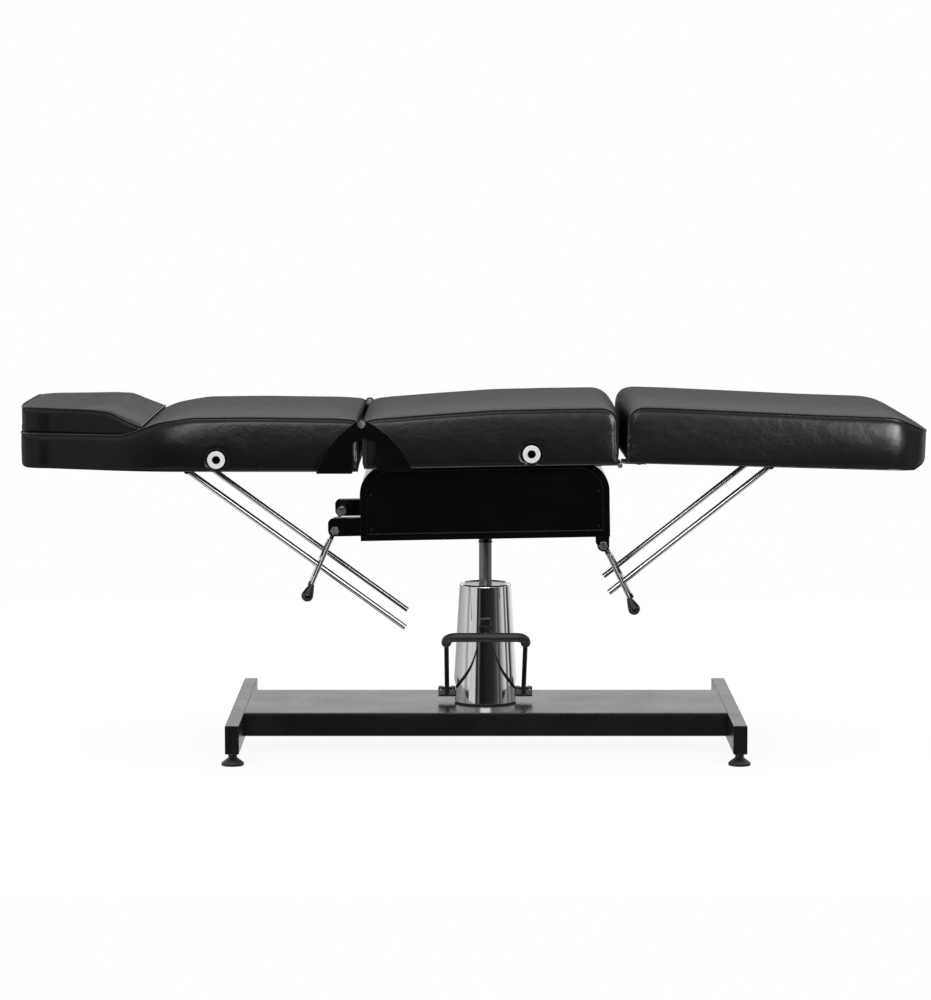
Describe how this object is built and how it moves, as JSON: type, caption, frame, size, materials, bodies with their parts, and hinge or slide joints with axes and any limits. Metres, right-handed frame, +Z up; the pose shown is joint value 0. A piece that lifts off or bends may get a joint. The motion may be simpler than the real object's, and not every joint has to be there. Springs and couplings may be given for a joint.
{
  "type": "tattoo chair",
  "caption": "Adjustable three-section treatment bed on a hydraulic pedestal: padded back, seat and leg rest over a frame box, rods with tilt locks, pump pedal and cross-foot base.",
  "frame": {"origin": "on the floor under the centre of the bounding box, with the bed laid flat", "axes": "+X from the head end to the foot end, +Y from the pedal side to the far side, +Z up"},
  "size_m": [1.8612, 0.6258, 0.7457],
  "materials": {
    "base_black": "satin powder coat",
    "frame_black": "gloss powder coat",
    "foot_pad": "moulded, matt",
    "chrome_plate": "bright plate",
    "zinc_steel": "zinc plated",
    "black_bolt": "blackened",
    "cast_pump": "as cast",
    "ground_steel": "ground",
    "gasket_rubber": "matt",
    "sleeve_rubber": "ribless, matt",
    "black_vinyl": "soft vinyl, satin",
    "plywood": "black-stained ply",
    "white_plastic": "moulded",
    "knob_plastic": "moulded"
  },
  "bodies": {
    "base": {"base_beam": "base_black", "cross_feet": "base_black", "cover_gasket": "gasket_rubber", "levelling_feet": "foot_pad", "foot_studs": "zinc_steel", "column_cover": "chrome_plate", "pump_body": "cast_pump", "pump_flange": "cast_pump", "flange_bolts": "zinc_steel", "piston_gland": "zinc_steel"},
    "pedal": {"pedal_frame": "black_bolt", "pedal_sleeve": "sleeve_rubber", "pedal_shaft": "frame_black", "pedal_bolts": "zinc_steel"},
    "ram": {"piston": "ground_steel", "thrust_ring": "gasket_rubber"},
    "seat": {"hub_socket": "frame_black", "hub_bolts": "zinc_steel", "frame_band": "frame_black", "side_panels": "frame_black", "cross_members": "frame_black", "lock_arms": "frame_black", "lock_lugs": "frame_black", "lever_bolts": "zinc_steel", "seat_board": "plywood", "seat_cushion": "black_vinyl", "seat_fans": "frame_black", "hinge_rivets": "zinc_steel", "seat_socket_tubes": "zinc_steel", "seat_socket_rings": "white_plastic", "seat_screws": "zinc_steel", "panel_screws": "black_bolt", "seat_hinge_leaves": "zinc_steel"},
    "back": {"back_board": "plywood", "back_cushion": "black_vinyl", "pillow": "black_vinyl", "back_fans": "frame_black", "back_socket_tubes": "zinc_steel", "back_socket_rings": "white_plastic", "back_brackets": "frame_black", "back_bracket_pins": "zinc_steel", "back_screws": "zinc_steel"},
    "leg": {"leg_board": "plywood", "leg_cushion": "black_vinyl", "leg_hinge_leaves": "zinc_steel", "leg_brackets": "frame_black", "leg_bracket_pins": "zinc_steel", "leg_screws": "zinc_steel"},
    "back_rod_near": {"back_rod_near": "chrome_plate"},
    "back_rod_far": {"back_rod_far": "chrome_plate"},
    "leg_rod_near": {"leg_rod_near": "chrome_plate"},
    "leg_rod_far": {"leg_rod_far": "chrome_plate"},
    "back_lever_near": {"back_lever_near": "chrome_plate", "back_knob_near": "knob_plastic"},
    "back_lever_far": {"back_lever_far": "chrome_plate", "back_cap_far": "knob_plastic"},
    "leg_lever_near": {"leg_lever_near": "chrome_plate", "leg_knob_near": "knob_plastic"},
    "leg_lever_far": {"leg_lever_far": "chrome_plate", "leg_cap_far": "knob_plastic"}
  },
  "joints": [
    {"name": "lift", "type": "slide", "parent": "base", "child": "ram", "axis": [0, 0, 1], "range_m": [-0.08, 0.06]},
    {"name": "swivel", "type": "hinge", "parent": "ram", "child": "seat", "pos_m": [0.02976, 0, 0.44], "axis": [0, 0, 1], "continuous": true},
    {"name": "pedal_press", "type": "hinge", "parent": "base", "child": "pedal", "pos_m": [0.02976, 0, 0.1005], "axis": [1, 0, 0], "range_deg": [0, 32], "stiffness_Nm_per_rad": 6, "springref_deg": -34.38},
    {"name": "back_recline", "type": "hinge", "parent": "seat", "child": "back", "pos_m": [-0.22272, 0, 0.69986], "axis": [0, 1, 0], "range_deg": [0, 45]},
    {"name": "leg_fold", "type": "hinge", "parent": "seat", "child": "leg", "pos_m": [0.30177, 0, 0.614], "axis": [0, 1, 0], "range_deg": [0, 50]},
    {"name": "back_rod_near_pivot", "type": "hinge", "parent": "back", "child": "back_rod_near", "pos_m": [-0.58974, -0.134, 0.59046], "axis": [0, 1, 0], "range_deg": [-15.46, 0]},
    {"name": "back_lever_near_pivot", "type": "hinge", "parent": "seat", "child": "back_lever_near", "pos_m": [-0.28157, -0.1877, 0.47085], "axis": [0, 1, 0], "range_deg": [0, 30.54]},
    {"name": "leg_rod_near_pivot", "type": "hinge", "parent": "leg", "child": "leg_rod_near", "pos_m": [0.62071, -0.134, 0.60026], "axis": [0, 1, 0], "range_deg": [-15.97, 0]},
    {"name": "leg_lever_near_pivot", "type": "hinge", "parent": "seat", "child": "leg_lever_near", "pos_m": [0.27207, -0.1877, 0.4402], "axis": [0, 1, 0], "range_deg": [0, 35.02]},
    {"name": "back_rod_far_pivot", "type": "hinge", "parent": "back", "child": "back_rod_far", "pos_m": [-0.58974, 0.134, 0.59046], "axis": [0, 1, 0], "range_deg": [-15.46, 0]},
    {"name": "back_lever_far_pivot", "type": "hinge", "parent": "seat", "child": "back_lever_far", "pos_m": [-0.28157, 0.1877, 0.47085], "axis": [0, 1, 0], "range_deg": [0, 30.54]},
    {"name": "leg_rod_far_pivot", "type": "hinge", "parent": "leg", "child": "leg_rod_far", "pos_m": [0.62071, 0.134, 0.60026], "axis": [0, 1, 0], "range_deg": [-15.97, 0]},
    {"name": "leg_lever_far_pivot", "type": "hinge", "parent": "seat", "child": "leg_lever_far", "pos_m": [0.27207, 0.1877, 0.4402], "axis": [0, 1, 0], "range_deg": [0, 35.02]}
  ],
  "couplings": [
    {"joint": "back_rod_near_pivot", "follows": "back_recline", "ratio": -0.3325},
    {"joint": "back_lever_near_pivot", "follows": "back_recline", "ratio": 0.6675},
    {"joint": "leg_rod_near_pivot", "follows": "leg_fold", "ratio": -0.3095},
    {"joint": "leg_lever_near_pivot", "follows": "leg_fold", "ratio": 0.6905},
    {"joint": "back_rod_far_pivot", "follows": "back_recline", "ratio": -0.3325},
    {"joint": "back_lever_far_pivot", "follows": "back_recline", "ratio": 0.6675},
    {"joint": "leg_rod_far_pivot", "follows": "leg_fold", "ratio": -0.3095},
    {"joint": "leg_lever_far_pivot", "follows": "leg_fold", "ratio": 0.6905}
  ]
}
